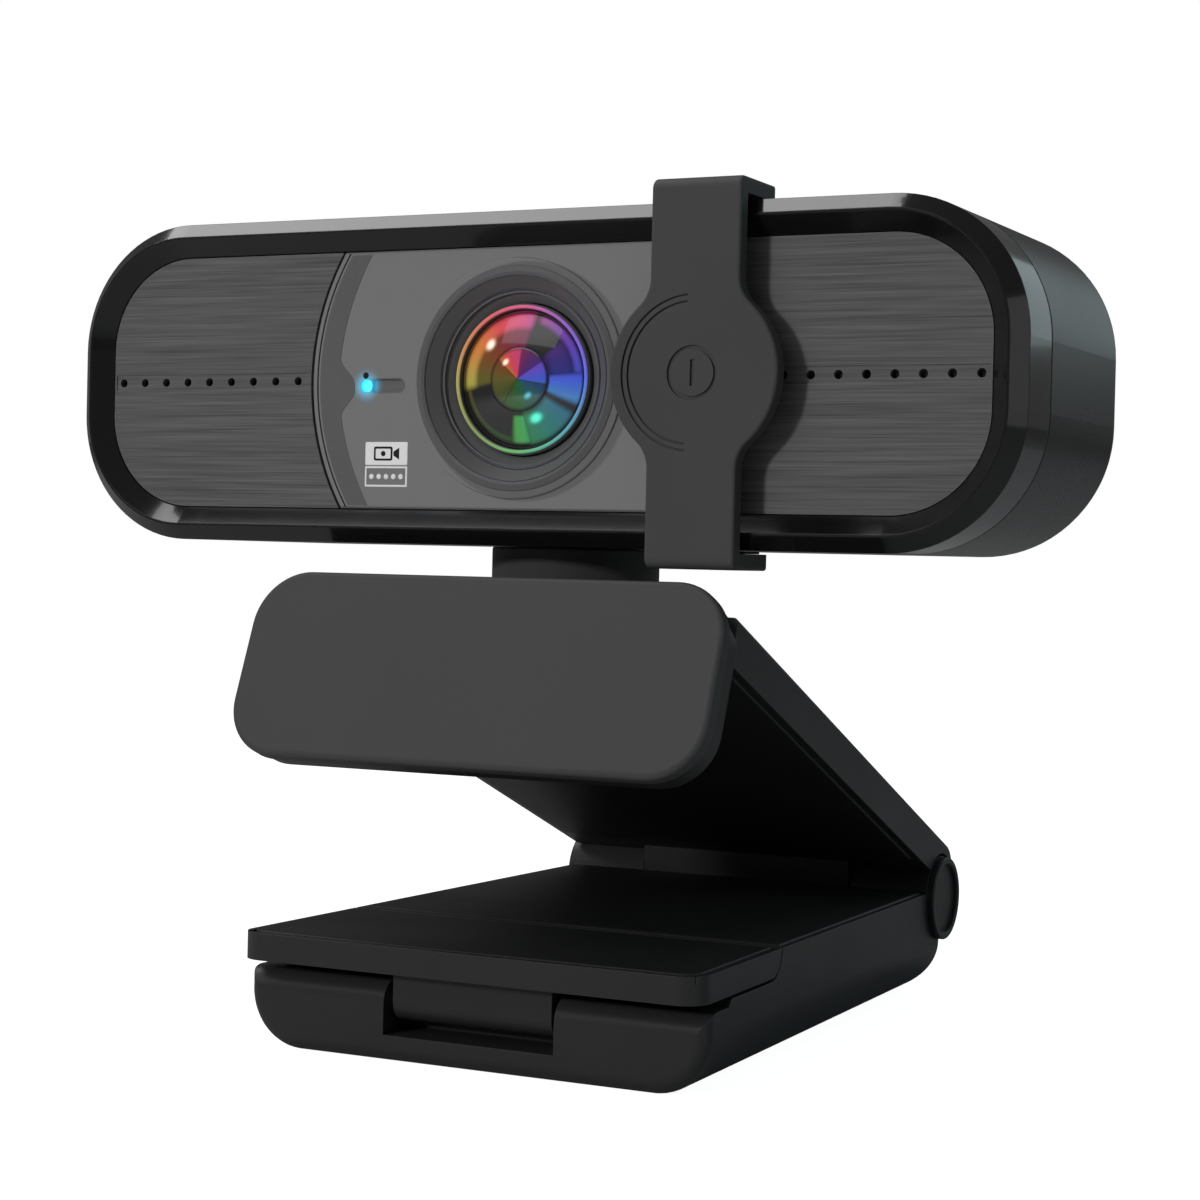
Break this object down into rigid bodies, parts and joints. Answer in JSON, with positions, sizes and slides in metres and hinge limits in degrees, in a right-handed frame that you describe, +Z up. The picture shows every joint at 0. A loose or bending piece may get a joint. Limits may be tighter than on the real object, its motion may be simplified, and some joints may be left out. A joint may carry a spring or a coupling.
{
  "type": "webcam on folding clip stand",
  "caption": "Wide flat webcam head with a sliding privacy cover, on a tilting neck, folding L-shaped arm and hinged clip base with a tripod thread.",
  "frame": {"origin": "mouth of the tripod insert in the underside of the base, on the plane the base rests on", "axes": "+X along the head's width, to the viewer's right when facing the lens; +Y from the lens to the back; +Z up"},
  "size_m": [0.0998, 0.079, 0.0821],
  "materials": {
    "stand_plastic": "fine satin texture, black",
    "lip_plastic": "soft-touch matte, dark grey",
    "slider_matte": "matte, dark grey",
    "bezel_gloss": "polished black",
    "cover_satin": "satin black",
    "fascia_gloss": "smoked gloss, dark grey",
    "brushed_black": "black anodised, brushed across",
    "inner_plastic": "moulded black",
    "barrel_black": "fine matte black",
    "rubber_black": "matte black",
    "brass_insert": "turned and knurled",
    "steel_zinc": "zinc plated",
    "aluminium_can": "drawn can",
    "washer_white": "natural acetal",
    "coated_glass": "multicoated lens",
    "light_pipe": "clear light guide, lit blue",
    "led_body": "moulded chip",
    "sensor_glass": "cover glass over a dark die",
    "board_green": "solder mask",
    "felt_black": "thin felt"
  },
  "bodies": {
    "base": {"base_shell": "stand_plastic", "tripod_insert": "brass_insert", "base_lid": "inner_plastic", "base_screws": "steel_zinc", "base_pad": "rubber_black", "hinge_pin": "steel_zinc", "hinge_washer_left": "washer_white", "hinge_washer_right": "washer_white", "hinge_cap_left": "stand_plastic", "hinge_cap_right": "stand_plastic", "flap_pin": "steel_zinc"},
    "flap": {"flap_plate": "stand_plastic", "flap_pad": "rubber_black"},
    "arm": {"arm_shell": "stand_plastic", "arm_plate": "steel_zinc", "arm_screws": "steel_zinc", "arm_pad": "rubber_black", "lip_front": "lip_plastic", "lip_pad": "rubber_black", "tilt_pin": "steel_zinc"},
    "neck": {"neck_yoke": "lip_plastic", "pan_spring_washer": "steel_zinc", "pan_washer": "steel_zinc", "pan_screw": "steel_zinc"},
    "head": {"board_screws": "steel_zinc", "cable_gland": "rubber_black", "cable_socket": "washer_white", "case_screws": "steel_zinc", "centre_fascia": "fascia_gloss", "front_bezel": "bezel_gloss", "front_lens": "coated_glass", "image_sensor": "sensor_glass", "infrared_filter": "coated_glass", "lens_baffle": "inner_plastic", "lens_barrel": "barrel_black", "lens_holder": "inner_plastic", "lens_ring": "barrel_black", "light_pipe": "light_pipe", "main_board": "board_green", "mic_boots": "rubber_black", "mic_capsules": "aluminium_can", "panel_left": "brushed_black", "panel_right": "brushed_black", "rear_cover": "cover_satin", "rear_lens": "coated_glass", "second_lens": "coated_glass", "shield_can": "steel_zinc", "status_led": "led_body"},
    "cover": {"privacy_cover": "slider_matte", "cover_felts": "felt_black"}
  },
  "joints": [
    {"name": "flap_fold", "type": "hinge", "parent": "base", "child": "flap", "pos_m": [0, -0.0294, 0.0056], "axis": [1, 0, 0], "range_deg": [0, 92]},
    {"name": "arm_fold", "type": "hinge", "parent": "base", "child": "arm", "pos_m": [0, 0.0377, 0.0102], "axis": [-1, 0, 0], "range_deg": [-21, 104]},
    {"name": "head_tilt", "type": "hinge", "parent": "arm", "child": "neck", "pos_m": [0, -0.01188, 0.04149], "axis": [-1, 0, 0], "range_deg": [-1.5, 35]},
    {"name": "head_pan", "type": "hinge", "parent": "neck", "child": "head", "pos_m": [0, -0.01188, 0.04149], "axis": [0, 0, 1], "range_deg": [-175, 175]},
    {"name": "cover_slide", "type": "slide", "parent": "head", "child": "cover", "axis": [1, 0, 0], "range_m": [-0.052, 0.012]}
  ]
}
